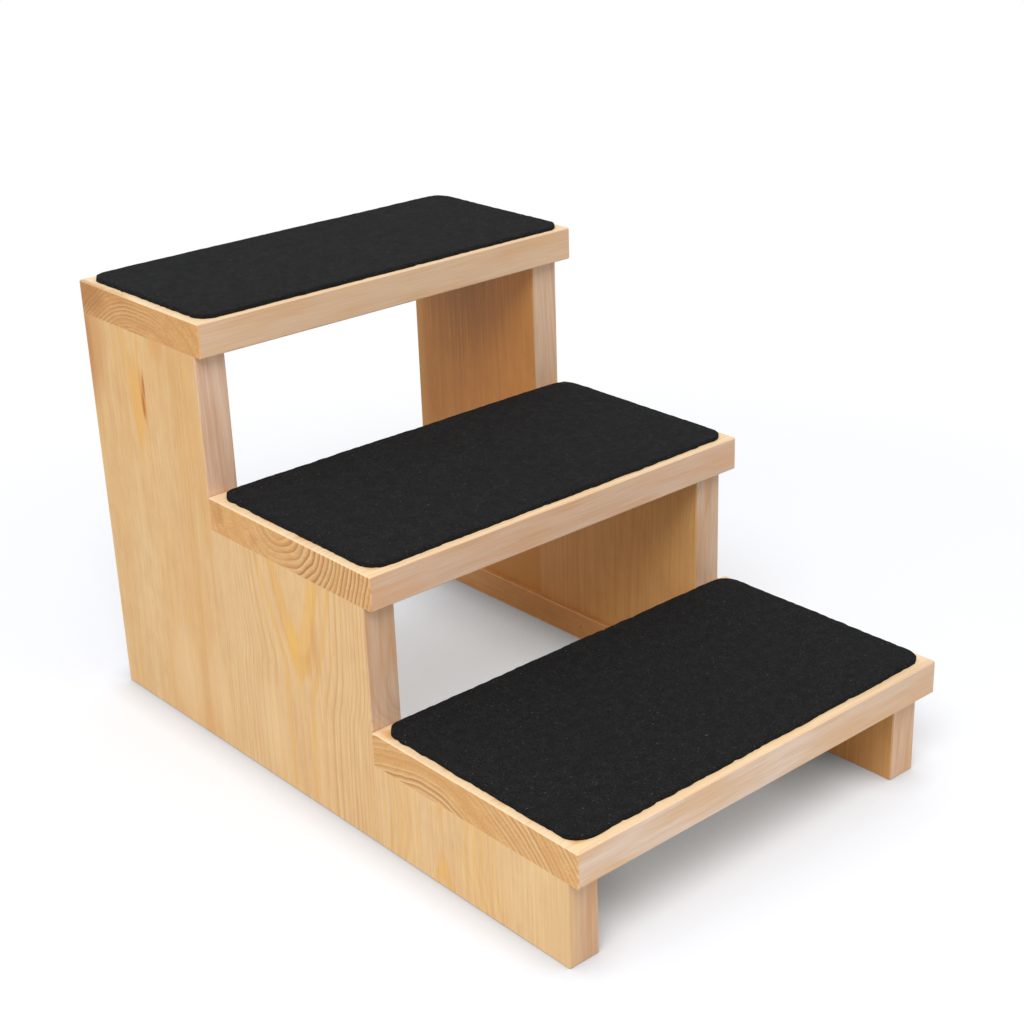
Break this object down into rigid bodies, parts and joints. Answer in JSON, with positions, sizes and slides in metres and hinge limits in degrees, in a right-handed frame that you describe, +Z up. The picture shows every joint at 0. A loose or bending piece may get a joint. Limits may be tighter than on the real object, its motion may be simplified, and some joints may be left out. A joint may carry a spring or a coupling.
{
  "type": "pet stairs",
  "caption": "Open wooden pet stairs: stepped plank sides, nosed plank treads and a rounded dark felt pad on each tread.",
  "frame": {"origin": "on the floor, under the middle of the stairs' bounding box", "axes": "+Z up, the stairs climb towards +Y, +X to the right of someone facing the steps"},
  "size_m": [0.412, 0.635, 0.404],
  "materials": {
    "side_pine": "planed pine under clear satin lacquer, grain upright",
    "tread_pine": "planed pine under clear satin lacquer, grain along the tread",
    "batten_pine": "planed pine under clear satin lacquer",
    "dowel_beech": "turned beech, unfinished",
    "pad_felt": "black needle-punched felt, matt",
    "screw_zinc": "zinc plate"
  },
  "bodies": {
    "root": {"left_front_board": "side_pine", "left_middle_board": "side_pine", "left_rear_board": "side_pine", "right_front_board": "side_pine", "right_middle_board": "side_pine", "right_rear_board": "side_pine", "low_tread": "tread_pine", "middle_tread": "tread_pine", "top_tread": "tread_pine", "low_pad": "pad_felt", "middle_pad": "pad_felt", "top_pad": "pad_felt", "left_floor_batten": "batten_pine", "right_floor_batten": "batten_pine", "left_edge_dowels": "dowel_beech", "right_edge_dowels": "dowel_beech", "low_tread_screws": "screw_zinc", "middle_tread_screws": "screw_zinc", "top_tread_screws": "screw_zinc", "left_batten_pins": "screw_zinc", "right_batten_pins": "screw_zinc"}
  },
  "joints": []
}
